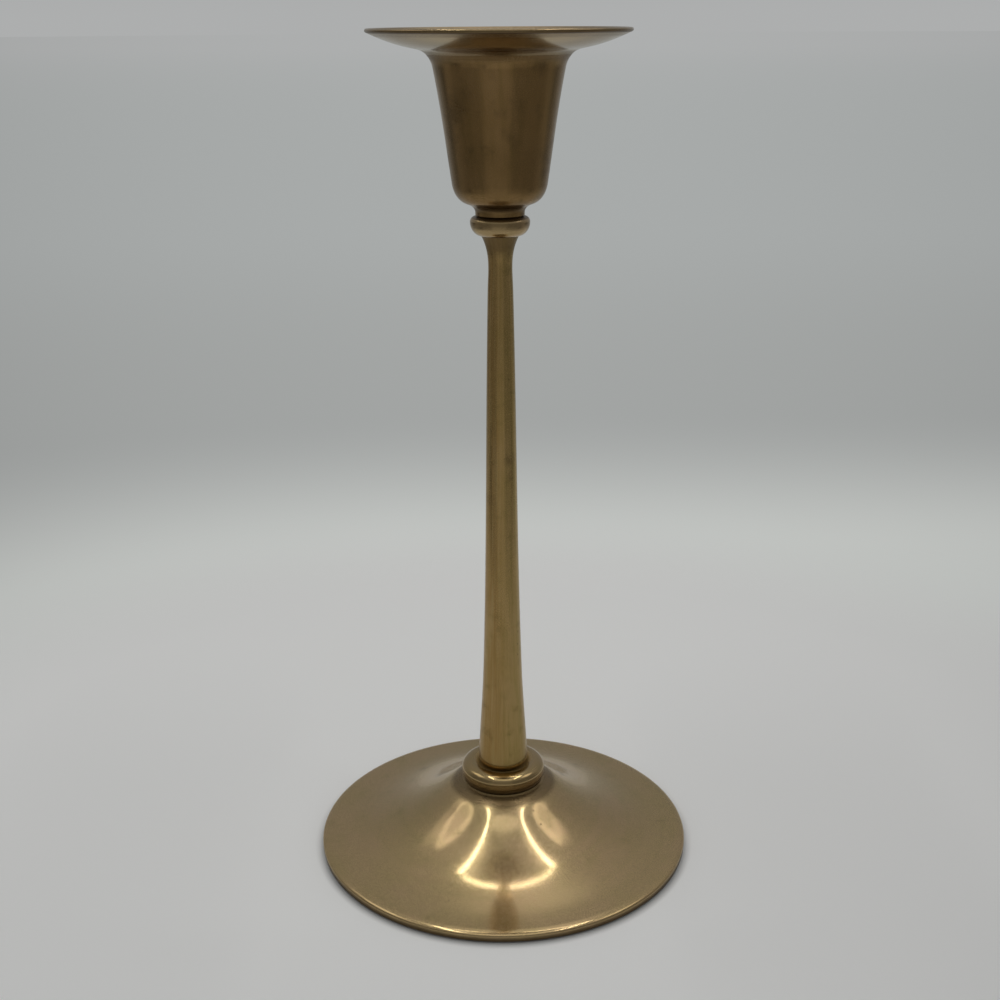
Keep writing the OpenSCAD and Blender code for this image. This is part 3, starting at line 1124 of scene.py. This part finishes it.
@dataclass
class Stem:
    """The slender turned stem and the ring at its neck, on the foot's collar."""

    foot: Foot
    height: float = 171.1
    foot_round: float = 2.6
    ankle_d: float = 12.2
    throat_d: float = 7.5
    top_d: float = 11.0
    ankle_share: float = 0.205
    throat_share: float = 0.905
    foot_heading: float = 92.6
    ankle_heading: float = 91.9
    throat_heading: float = 91.35
    top_heading: float = 62.0
    ring_d: float = 17.3
    ring_h: float = 5.4
    ring_round: float = 1.5
    ring_under_w: float = 3.2
    screw_d: float = 4.0
    screw_bite: float = 10.0
    tap_spare: float = 1.5
    thread_gap: float = 0.05
    shank_gap: float = 0.25
    worn_edge: float = 0.1

    @property
    def ring_z(self) -> float:
        """Height of the stem's top, where the ring stands."""
        return self.foot.recess_z + self.height

    @property
    def cup_z(self) -> float:
        """Height of the ring's top, where the cup stands."""
        return self.ring_z + self.ring_h

    def stem(self) -> bpy.types.Object:
        """The stem with its rounded foot and tapped ends."""
        low, stud_r = self.foot.recess_z, self.foot.stud_d / 2
        foot = (self.foot.stem_r, low + self.foot_round)
        ankle = (self.ankle_d / 2, low + self.ankle_share * self.height)
        throat = (self.throat_d / 2, low + self.throat_share * self.height)
        top = (self.top_d / 2, self.ring_z)
        tap, bore = stud_r + self.thread_gap, self.screw_d / 2 + self.thread_gap
        tap_z = low + self.foot.stud_bite + self.tap_spare
        bore_z = self.ring_z - self.screw_bite - self.tap_spare
        outline = [(0, tap_z), (tap, tap_z), (tap, low)]
        corner = (foot[0] - self.foot_round, foot[1])
        outline += arc(corner, self.foot_round, self.foot_round, -90, 0, 24)
        outline += curve(foot, self.foot_heading, ankle, self.ankle_heading, 40)[1:]
        outline += curve(ankle, self.ankle_heading, throat, self.throat_heading, 100)[1:]
        outline += curve(throat, self.throat_heading, top, self.top_heading, 60)[1:]
        outline += [(bore, self.ring_z), (bore, bore_z), (0, bore_z)]
        return spun("stem_turned", eased(outline[::-1], self.worn_edge), Sides.SLIM)

    def neck_ring(self) -> bpy.types.Object:
        """The ring between the stem and the cup."""
        edge_r, hole = self.ring_d / 2, self.screw_d / 2 + self.shank_gap
        belly_z = self.cup_z - self.ring_round
        under = (edge_r - self.ring_under_w, belly_z)
        outline = [(hole, self.ring_z)]
        outline += arc(under, self.ring_under_w, belly_z - self.ring_z, -90, 0, 30)
        shoulder = (edge_r - self.ring_round, belly_z)
        outline += arc(shoulder, self.ring_round, self.ring_round, 0, 90, 24)[1:]
        outline += [(hole, self.cup_z)]
        return spun("neck_ring_turned", eased(outline[::-1], self.worn_edge), Sides.SLIM)

    def dress(self) -> None:
        """Builds and finishes the stem and its ring."""
        stem_finish = OldMetal(
            "stem_bronze",
            STEM_BRONZE,
            roughness=0.17,
            lay=Lay.UPRIGHT,
            streaks=0.75,
            clouds=0.45,
            ruddy=0.55,
            cloud_from=0.55,
            patch_scale=0.24,
            marks=(
                # painted shade at the foot, in the collar's recess, and at the top, under the neck
                # ring
                Hollow(self.foot.stem_r - 1.6, self.foot.recess_z + 0.2, 1.0, 0.35),
                Hollow(self.top_d / 2, self.ring_z - 1.0, 5.5, 0.62),
                Stain((2.7, -3.6, 131.0), 3.0, 0.55),
                Stain((2.9, -3.4, 126.0), 2.4, 0.45),
                Stain((-3.6, -3.2, 118.0), 3.2, 0.45),
                Stain((-3.0, -3.4, 140.0), 2.4, 0.35),
                Scratch((1.7, -4.8, 82.2), (2.5, -4.5, 81.0), 0.16, 0.6),
                Scratch((2.1, -4.7, 80.6), (2.9, -4.3, 79.9), 0.14, 0.5),
                Scratch((1.2, -5.0, 79.4), (1.9, -4.8, 78.3), 0.13, 0.45),
            ),
        )
        ring_finish = OldMetal(
            "aged_bronze_ring",
            RING_BRONZE,
            matt=0.15,
            marks=(
                # painted shade on the underside by the stem, in the groove under the cup and on the
                # side below the shoulder
                Hollow(self.top_d / 2 + 0.2, self.ring_z, 0.8, 0.7),
                Hollow(self.ring_d / 2 - 1.3, self.cup_z - 0.1, 1.25, 0.75),
                Hollow(self.ring_d / 2 - 0.6, self.cup_z - 1.7, 1.5, 0.3),
            ),
        )
        rows = (
            ("stem", "stem_bronze", stem_finish, self.stem),
            ("neck_ring", "aged_bronze", ring_finish, self.neck_ring),
        )
        dress_all(rows, "candlestick")


@dataclass
class Cup:
    """The bell cup on the stem's ring, and the screw in its floor."""

    stem: Stem
    height: float = 44.2
    neck_d: float = 14.2
    neck_h: float = 3.7
    groove: float = 0.5
    heel_d: float = 27.3
    heel_h: float = 5.6
    mouth_d: float = 36.9
    lip_d: float = 40.4
    lip_h: float = 3.5
    floor_t: float = 9.1
    chamfer: float = 0.5
    bore_r: float = 12.25
    cove_shares: Point = (0.384, 0.33)
    under_heading: float = 17.0
    heel_heading: float = 81.8
    mouth_heading: float = 79.0
    lip_heading: float = 47.0
    screw_chamfer: float = 0.4
    head_d: float = 7.0
    head_h: float = 2.6
    head_round: float = 0.5
    slot_w: float = 1.0
    slot_depth: float = 1.2
    thread_depth: float = 0.4
    thread_pitch: float = 0.7
    rings_per_pitch: int = 8
    saw_spare: float = 1.0
    worn_edge: float = 0.1

    @property
    def pan_z(self) -> float:
        """Height of the cup's lip, where the pan lies."""
        return self.stem.cup_z + self.height

    @property
    def floor_z(self) -> float:
        """Height of the floor of the bore."""
        return self.stem.cup_z + self.floor_t

    def cup(self) -> bpy.types.Object:
        """The bell cup with its bore."""
        low, neck, heel_r = self.stem.cup_z, self.neck_d / 2, self.heel_d / 2
        under = low + self.neck_h
        cove = (neck, low + self.cove_shares[1] * self.neck_h)
        cove_end = (neck + self.cove_shares[0] * (heel_r - neck), under)
        heel = (heel_r, under + self.heel_h)
        mouth = (self.mouth_d / 2, self.pan_z - self.lip_h)
        lip = (self.lip_d / 2, self.pan_z)
        hole, bore = self.stem.screw_d / 2 + self.stem.shank_gap, self.bore_r
        outline = [(hole, low), (neck - self.groove, low), (neck, low + self.groove)]
        outline += curve(cove, 90, cove_end, self.under_heading, 24)
        outline += curve(cove_end, self.under_heading, heel, self.heel_heading, 44)[1:]
        outline += curve(heel, self.heel_heading, mouth, self.mouth_heading, 90)[1:]
        outline += curve(mouth, self.mouth_heading, lip, self.lip_heading, 24)[1:]
        outline += [(bore + self.chamfer, self.pan_z), (bore, self.pan_z - self.chamfer)]
        outline += [(bore, self.floor_z), (hole, self.floor_z)]
        return spun("candle_cup_turned", eased(outline[::-1], self.worn_edge), Sides.BROAD)

    def screw(self) -> bpy.types.Object:
        """The slotted screw that holds the cup to the stem."""
        r, low = self.stem.screw_d / 2, self.stem.ring_z - self.stem.screw_bite
        top, head = self.floor_z + self.head_h, self.head_d / 2
        start = low + self.screw_chamfer
        length, spare = self.floor_z - start, self.saw_spare
        rings = ceil(self.rings_per_pitch * length / self.thread_pitch)
        wall = [(r, start + length * n / rings) for n in range(rings + 1)]
        corner = (head - self.head_round, top - self.head_round)
        outline = [(0, low), (r - self.screw_chamfer, low), *wall, (head, self.floor_z)]
        outline += arc(corner, self.head_round, self.head_round, 0, 90, 6) + [(0, top)]
        piece = spun("cup_screw_slotted", outline[::-1], Sides.SCREW)
        Thread(r, self.thread_depth, self.thread_pitch, low, self.stem.ring_z).cut(piece)
        bpy.ops.object.select_all(action="DESELECT")
        bpy.ops.mesh.primitive_cube_add(
            size=1,
            location=(0, 0, (top + (spare - self.slot_depth) / 2) * MM),
            scale=(2 * self.head_d * MM, self.slot_w * MM, (spare + self.slot_depth) * MM),
        )
        saw = bpy.context.active_object
        bpy.ops.object.transform_apply(location=True, rotation=True, scale=True)
        carve(piece, saw, Cut.OUTSIDE)
        return piece

    def dress(self) -> None:
        """Builds and finishes the cup and its screw."""
        low = self.stem.cup_z
        cup_finish = OldMetal(
            "dark_bronze",
            CUP_BRONZE,
            roughness=0.17,
            lay=Lay.UPRIGHT,
            streaks=0.6,
            spots=0.2,
            clouds=0.8,
            cloud_from=0.46,
            patch_scale=0.11,
            matt=0.2,
            marks=(
                # painted shade in the groove at the ring and on the neck under the cup's underside
                Hollow(self.neck_d / 2 - 0.4, low, 0.5, 0.6),
                Hollow(self.neck_d / 2 + 0.2, low + self.neck_h - 1.1, 1.2, 0.6),
                # darker about the heel
                Hollow(self.heel_d / 2 + 1.3, low + 12.5, 10.0, 0.17),
                # painted shade on the lip under the pan
                Hollow(self.lip_d / 2, self.pan_z, 2.4, 0.45),
            ),
        )
        screw_finish = OldMetal("screw_brass_head", SCREW_BRASS, roughness=0.28, clouds=0.8)
        rows = (
            ("candle_cup", "dark_bronze", cup_finish, self.cup),
            ("cup_screw", "screw_brass", screw_finish, self.screw),
        )
        dress_all(rows, "candlestick")


@dataclass
class Pan:
    """The wide drip pan and the candle sleeve soldered into it, which lift out of the cup."""

    cup: Cup
    pan_d: float = 73.7
    sheet_t: float = 1.0
    height: float = 6.9
    bead: float = 0.55
    dish_share: float = 0.24
    dish_heading: float = 11.0
    rim_heading: float = 25.0
    sleeve_bore: float = 11.2
    sleeve_wall: float = 0.8
    sleeve_depth: float = 25.0
    sleeve_lip_w: float = 1.6
    sleeve_lip_t: float = 0.8
    solder_gap: float = 0.05
    worn_edge: float = 0.08
    drawn_edge: float = 0.2

    def pan(self) -> bpy.types.Object:
        """The spun pan with its beaded rim."""
        low, knuckle = self.cup.pan_z, (self.cup.lip_d / 2, self.cup.pan_z)
        rim = (self.pan_d / 2 - self.bead, low + self.height - self.bead)
        turn = self.rim_heading - 90
        bead = arc(rim, self.bead, self.bead, turn, turn + 180, 20)
        dish_r = knuckle[0] + self.dish_share * (rim[0] - knuckle[0])
        dish = (dish_r, low + self.dish_share * self.height)
        under = curve(knuckle, self.cup.lip_heading, dish, self.dish_heading, 24)
        under += curve(dish, self.dish_heading, bead[0], self.rim_heading, 72)[1:]
        seat, hole = low + self.sheet_t, self.sleeve_bore + self.sleeve_wall + self.solder_gap
        inner = rim[0] - self.bead
        upper = [p for p in reversed(beside(under, -self.sheet_t)) if p[1] > seat and p[0] < inner]
        outline = [(hole, low), *under, *bead[1:], *upper]
        outline += [(knuckle[0] - self.sheet_t, seat), (hole, seat)]
        return spun("drip_pan_spun", eased(outline[::-1], self.worn_edge), Sides.WIDE)

    def sleeve(self) -> bpy.types.Object:
        """The drawn tube that the candle stands in, with its turned-out lip."""
        bore, outer = self.sleeve_bore, self.sleeve_bore + self.sleeve_wall
        low, lip = self.cup.pan_z - self.sleeve_depth, self.cup.pan_z + self.sheet_t
        lip_r, top = outer + self.sleeve_lip_w, lip + self.sleeve_lip_t
        outline = [(bore, low), (outer, low), (outer, lip), (lip_r, lip), (lip_r, top)]
        outline += [(bore, top)]
        return spun("candle_sleeve_drawn", eased(outline[::-1], self.drawn_edge), Sides.SLIM)

    def dress(self) -> None:
        """Builds and finishes the pan and its sleeve."""
        low, rim_z = self.cup.pan_z, self.cup.pan_z + self.height
        pan_finish = OldMetal(
            "aged_bronze_pan",
            PAN_BRONZE,
            roughness=0.105,
            matt=0.12,
            marks=(
                # darker round the sleeve's foot
                Hollow(self.sleeve_bore + self.sleeve_wall + 1.7, low + 1.1, 1.2, 0.8),
                # painted shade: the bead darker from its middle down, the underside darker towards
                # it, and the pan darker where it rests on the cup's lip
                Hollow(self.pan_d / 2 - 0.35, rim_z - 1.05, 0.50, 0.9),
                Hollow(self.pan_d / 2, rim_z - 0.7, 0.45, 0.6),
                Hollow(self.pan_d / 2 - 0.2, rim_z - 0.25, 0.40, 0.3),
                Hollow(self.pan_d / 2 - 1.3, rim_z - 1.35, 1.9, 0.35),
                Hollow(self.cup.lip_d / 2, low, 2.2, 0.5),
            ),
        )
        sleeve_finish = OldMetal(
            "sleeve_brass", SLEEVE_BRASS, roughness=0.24, streaks=0.3, clouds=0.8
        )
        rows = (
            ("drip_pan", "aged_bronze", pan_finish, self.pan),
            ("candle_sleeve", "sleeve_brass", sleeve_finish, self.sleeve),
        )
        dress_all(rows, "lift_out_pan")


# The studio


def only_in_metal(card: bpy.types.Object) -> None:
    """Hides a card from everything but the reflections.

    Args:
        card: The card.
    """
    card.visible_camera = card.visible_diffuse = card.visible_shadow = False
    card.visible_transmission = card.visible_volume_scatter = False


@dataclass(frozen=True)
class Strip:
    """A lamp strip that shines down, in metres, turned about Z by degrees."""

    name: str
    centre: Place
    length: float
    turn: float
    share: float = 1.0
    width: float = 0.026
    radiance: float = 13.0
    tone: Colour = (1.0, 0.985, 0.955)

    def build(self) -> None:
        """Hangs the lamp over the object."""
        lamp = bpy.data.lights.new(self.name, "AREA")
        lamp.shape, lamp.size, lamp.size_y = "RECTANGLE", self.length, self.width
        lamp.energy = self.radiance * self.share * pi * self.length * self.width
        lamp.color = self.tone
        holder = bpy.data.objects.new(self.name, lamp)
        bpy.context.scene.collection.objects.link(holder)
        holder.location = self.centre
        holder.rotation_euler = (0, 0, radians(self.turn))


@dataclass(frozen=True)
class Card:
    """A level glowing card with soft edges, which only the metal shows, in metres."""

    name: str
    centre: Place
    size: tuple[float, float]
    strength: float
    tone: Colour = (1.0, 1.0, 0.98)
    soft: float = 0.01

    def build(self) -> None:
        """Adds the card to the studio."""
        bpy.ops.object.select_all(action="DESELECT")
        bpy.ops.mesh.primitive_plane_add(size=1, location=self.centre)
        card = bpy.context.active_object
        card.name, card.scale = self.name, (*self.size, 1)
        bpy.ops.object.transform_apply(location=True, rotation=True, scale=True)
        made, bench = blank(self.name)
        _, x, y, _ = bench.place()
        mask: Input = 1.0
        for value, middle, width in zip((x, y), self.centre, self.size):
            edge, away = width / 2 / MM, (value - middle / MM) ** 2
            inner = max(edge - self.soft / MM, 0)
            mask = mask * bench.rise(away ** 0.5, edge, inner)
        bench.finish(bench.blend(mask, bench.clear(), bench.glow(self.tone, self.strength)))
        card.data.materials.append(made)
        only_in_metal(card)


@dataclass(frozen=True)
class Sweep:
    """The pale sweep: lit paper near the object, the soft greys of the box beyond.

    Its radius is in metres and its patterns are in millimetres. The greys go by the depth
    behind the object.
    """

    radius: float = 20.0
    paper: Colour = (0.965, 0.965, 0.955)
    front_grey: float = 0.46
    front_tone: Colour = (1.0, 0.99, 0.96)
    far_tone: Colour = (0.420, 0.428, 0.427)
    eye_back: float = 405.0
    view_from: float = -300.0
    half_view: float = 0.357
    corner_depth: float = 62.0
    far_y: Range = (2000.0, 12000.0)
    side_fall: float = 0.075
    left_fall: float = 0.015
    left_fall_depth: Range = (150.0, 300.0)
    front_y: Range = (-60.0, -120.0)
    dim_away: Range = (250.0, 340.0)
    pale_away: Range = (380.0, 450.0)
    opening_away: Range = (235.0, 275.0)
    opening_left: Range = (15.0, -15.0)
    opening_right: Range = (-15.0, 15.0)
    left_slope: float = 0.67
    right_slope: float = 0.44
    opening_shade: float = 0.32
    glow_away: Range = (200.0, 330.0)
    glow_y: Range = (-95.0, -135.0)
    foot_away: Range = (62.6, 59.6)
    shade_y: Range = (0.0, -35.0)
    shade_front: float = 0.34
    shade_back: float = 0.16
    near_tone: Colour = (0.500, 0.505, 0.495)
    lit_tone: Colour = (0.540, 0.556, 0.537)
    bend_tone: Colour = (0.363, 0.374, 0.368)
    back_tone: Colour = (0.391, 0.406, 0.402)
    lit_depth: Range = (0.0, 220.0)
    bend_depth: Range = (260.0, 520.0)
    back_depth: Range = (500.0, 1400.0)

    def behind(self, bench: Bench, x: Socket, y: Socket) -> tuple[Socket, Socket]:
        """The greys behind the object.

        Args:
            bench: The tree under construction.
            x: Place to the right.
            y: Place to the back.

        Returns:
            The grey, and the share of the light that is left towards the sides.
        """
        # how far to the side, seen from the front: -1 and 1 at the edges of the view
        side = x / (y.larger(self.view_from) + self.eye_back) / self.half_view
        left, right = side.smaller(0.0), side.larger(0.0)
        depth = y + left * left * self.corner_depth
        grey = bench.mix(bench.rise(depth, *self.lit_depth), self.near_tone, self.lit_tone)
        # the light falls off where the paper bends up, more sharply at its near side
        closeness = (depth.larger(0.0) + self.eye_back) ** -1.0
        near, far = (1 / (at + self.eye_back) for at in self.bend_depth)
        grey = bench.mix(bench.rise(closeness, near, far), grey, self.bend_tone)
        grey = bench.mix(bench.rise(depth, *self.back_depth), grey, self.back_tone)
        grey = bench.mix(bench.rise(y, *self.far_y), grey, self.far_tone)
        fall = bench.rise(depth, *self.left_fall_depth) * self.side_fall + self.left_fall
        falls = 1 - left * left * fall - right * right * self.side_fall
        return bench.tinted(falls, grey), falls

    def before(self, bench: Bench, x: Socket, y: Socket, away: Socket) -> Socket:
        """The paper in front, out of the picture, between the darker sides of the opening.

        Args:
            bench: The tree under construction.
            x: Place to the right.
            y: Place to the back.
            away: Distance from the object's axis.

        Returns:
            The paper's colour.
        """
        grey = self.front_grey - bench.rise(away, *self.dim_away) * 0.05
        grey = grey + bench.rise(away, *self.pale_away) * 0.08
        left = bench.rise(x - y * self.left_slope, *self.opening_left)
        right = bench.rise(x + y * self.right_slope, *self.opening_right)
        outside = left.larger(right) * bench.rise(away, *self.opening_away)
        return bench.tinted(grey * (1 - outside * self.opening_shade), self.front_tone)

    def build(self) -> None:
        """Lays the sweep under the object."""
        bpy.ops.object.select_all(action="DESELECT")
        bpy.ops.mesh.primitive_circle_add(
            vertices=Sides.SMALL, radius=self.radius, fill_type="NGON", location=(0, 0, 0)
        )
        sheet = bpy.context.active_object
        sheet.name = "sweep"
        made, bench = blank("sweep_paper")
        _, x, y, _ = bench.place()
        away = (x * x + y * y) ** 0.5
        back, falls = self.behind(bench, x, y)
        front = self.before(bench, x, y, away)
        grey = bench.mix(bench.rise(y, *self.front_y), back, front)
        # painted shade: the paper's colour is darker beside the rolled edge, where less light
        # reaches it, most of all in front
        shade = bench.rise(y, *self.shade_y) * self.shade_front + self.shade_back
        falls = falls * (1 - bench.rise(away, *self.foot_away) * shade)
        paper = bench.add("ShaderNodeBsdfDiffuse", {}, {"Color": bench.tinted(falls, self.paper)})
        far = bench.rise(away, *self.glow_away).larger(bench.rise(y, *self.glow_y))
        bench.finish(bench.blend(far * bench.seen(), paper, bench.glow(grey)))
        sheet.data.materials.append(made)


@dataclass(frozen=True)
class Room:
    """The dim room in front of the light box, a drum in metres that only the metal shows."""

    radius: float = 0.46
    height: float = 0.44
    bottom: float = 0.002
    grey: float = 0.205
    back_grey: float = 0.15
    opening: float = 0.068
    opening_foot: float = 0.145
    tone: Colour = (1.0, 0.98, 0.94)
    left_side: Range = (-0.60, -0.52)
    right_side: Range = (0.46, 0.38)
    front_turn: Range = (-0.3, -0.6)
    foot_z: Range = (75.0, 10.0)
    back_turn: Range = (-0.1, 0.45)
    open_turn: Range = (0.25, 0.5)

    def build(self) -> None:
        """Stands the drum round the object, open to the back."""
        bpy.ops.object.select_all(action="DESELECT")
        bpy.ops.mesh.primitive_cylinder_add(
            vertices=Sides.SMALL,
            radius=self.radius,
            depth=self.height,
            end_fill_type="NOTHING",
            location=(0, 0, self.bottom + self.height / 2),
        )
        card = bpy.context.active_object
        card.name = "room_card"
        bpy.ops.object.transform_apply(location=True, rotation=True, scale=True)
        made, bench = blank("room_shade")
        _, x, y, z = bench.place()
        # -1 straight in front of the object or at its left, 1 behind it or at its right
        turn, side = y / (self.radius / MM), x / (self.radius / MM)
        band = bench.rise(side, *self.left_side) * bench.rise(side, *self.right_side)
        band = band * bench.rise(turn, *self.front_turn)
        band = band * (self.opening + bench.rise(z, *self.foot_z) * self.opening_foot)
        grey = self.grey + band + bench.rise(turn, *self.back_turn) * self.back_grey
        shade = bench.glow(bench.tinted(grey, self.tone))
        bench.finish(bench.blend(bench.rise(turn, *self.open_turn), shade, bench.clear()))
        card.data.materials.append(made)
        only_in_metal(card)


@dataclass
class Studio:
    """The light box: a ring of lamp strips, pale cards and walls, soft greys, paper, camera."""

    lamp_z: float = 0.764
    lamp_left: float = -0.209
    lamp_right: float = 0.264
    lamp_back: float = 0.211
    lamp_front: float = -0.185
    rose: Colour = (1.0, 0.97, 0.95)
    lens: float = 50.44
    sensor: float = 36.0
    eye: Place = (-0.0005, -0.40512, 0.25771)
    pitch: float = 19.159
    roll: float = -0.35
    greys: Stops = (
        (0.00, (0.418, 0.425, 0.425)),
        (0.12, (0.350, 0.356, 0.358)),
        (0.34, (0.335, 0.341, 0.343)),
        (0.50, (0.350, 0.355, 0.357)),
        (0.70, (0.405, 0.409, 0.410)),
        (0.87, (0.410, 0.413, 0.413)),
        (1.00, (0.450, 0.451, 0.449)),
    )

    def lamps(self) -> None:
        """The lamp strips and the pale cards about them, over the object."""
        left, right, back, front = self.lamp_left, self.lamp_right, self.lamp_back, self.lamp_front
        depth, width = back - front, right - left
        mid_x, mid_y = (left + right) / 2, (back + front) / 2
        z, side_z, rose = self.lamp_z, self.lamp_z + 0.004, self.rose
        lights = (
            Strip("strip_left", (left, mid_y, z), depth, 90),
            Strip("strip_right", (right, mid_y, z), depth, 90),
            Strip("strip_back", (mid_x, back, z), width - 0.05, 0, 0.64),
            Card("ceiling", (mid_x, mid_y, z + 0.006), (width - 0.03, depth - 0.02), 0.42),
            Card("lamp_side_left", (left + 0.05, mid_y, side_z), (0.09, depth), 1.15, soft=0.05),
            Card("lamp_side_right", (right - 0.05, mid_y, side_z), (0.09, depth), 0.95, soft=0.05),
            Card("ceiling_front", (mid_x, -0.238, z + 0.008), (0.46, 0.23), 1.65, soft=0.06),
            Card("glow_back", (0.065, 0.410, z + 0.012), (0.54, 0.60), 0.95, soft=0.22),
            Card("wall_left_side", (-0.482, 0.100, z), (0.09, 0.36), 2.10, rose, 0.02),
            Card("wall_left_back", (-0.620, 0.265, z), (0.33, 0.10), 2.10, rose, 0.02),
            Card("wall_left", (-0.620, 0.110, z + 0.004), (0.34, 0.38), 1.20, rose, 0.03),
            Card("glow_left", (-0.730, 0.370, z + 0.008), (0.50, 0.32), 1.00, rose, 0.12),
            Card("wall_right_side", (0.475, 0.065, z), (0.10, 0.30), 2.25, rose, 0.02),
            Card("wall_right_back", (0.600, 0.198, z), (0.24, 0.09), 1.75, rose, 0.02),
            Card("wall_right", (0.590, 0.070, z + 0.004), (0.27, 0.28), 1.35, rose, 0.03),
            Card("glow_right", (0.630, 0.265, z + 0.008), (0.30, 0.17), 1.00, rose, 0.08),
        )
        for light in lights:
            light.build()

    def world(self) -> None:
        """The soft grey surroundings, by height."""
        world = bpy.data.worlds.new("light_box")
        bpy.context.scene.world = world
        world.use_nodes = True
        bench = Bench(world.node_tree)
        aim = bench.add("ShaderNodeTexCoord", {}, {}, "Generated")
        up = bench.split("ShaderNodeSeparateXYZ", {}, {0: aim})[2]
        colour = bench.add("ShaderNodeValToRGB", {"stops": self.greys}, {0: up})
        sky = {"Color": colour, "Strength": 1.0}
        bench.finish(bench.add("ShaderNodeBackground", {}, sky), Use.WORLD)

    def camera(self) -> None:
        """The camera at the photograph's place."""
        data = bpy.data.cameras.new("camera")
        data.lens, data.sensor_width = self.lens, self.sensor
        data.clip_start, data.clip_end = 0.01, 100
        holder = bpy.data.objects.new("camera", data)
        bpy.context.scene.collection.objects.link(holder)
        turn = Matrix.Rotation(radians(90 - self.pitch), 4, "X")
        turn = turn @ Matrix.Rotation(radians(self.roll), 4, "Z")
        holder.matrix_world = Matrix.Translation(self.eye) @ turn
        bpy.context.scene.camera = holder

    def build(self) -> None:
        """Sets up camera, lamps, surroundings, sweep and room."""
        self.camera()
        self.lamps()
        self.world()
        Sweep().build()
        Room().build()
        bpy.context.scene.view_settings.view_transform = "Standard"
        log.info("studio is set")


def main() -> None:
    """Builds the candlestick and the studio."""
    foot = Foot()
    stem = Stem(foot)
    cup = Cup(stem)
    for assembly in (foot, stem, cup, Pan(cup)):
        assembly.dress()
    Studio().build()


if __name__ == "__main__":
    main()
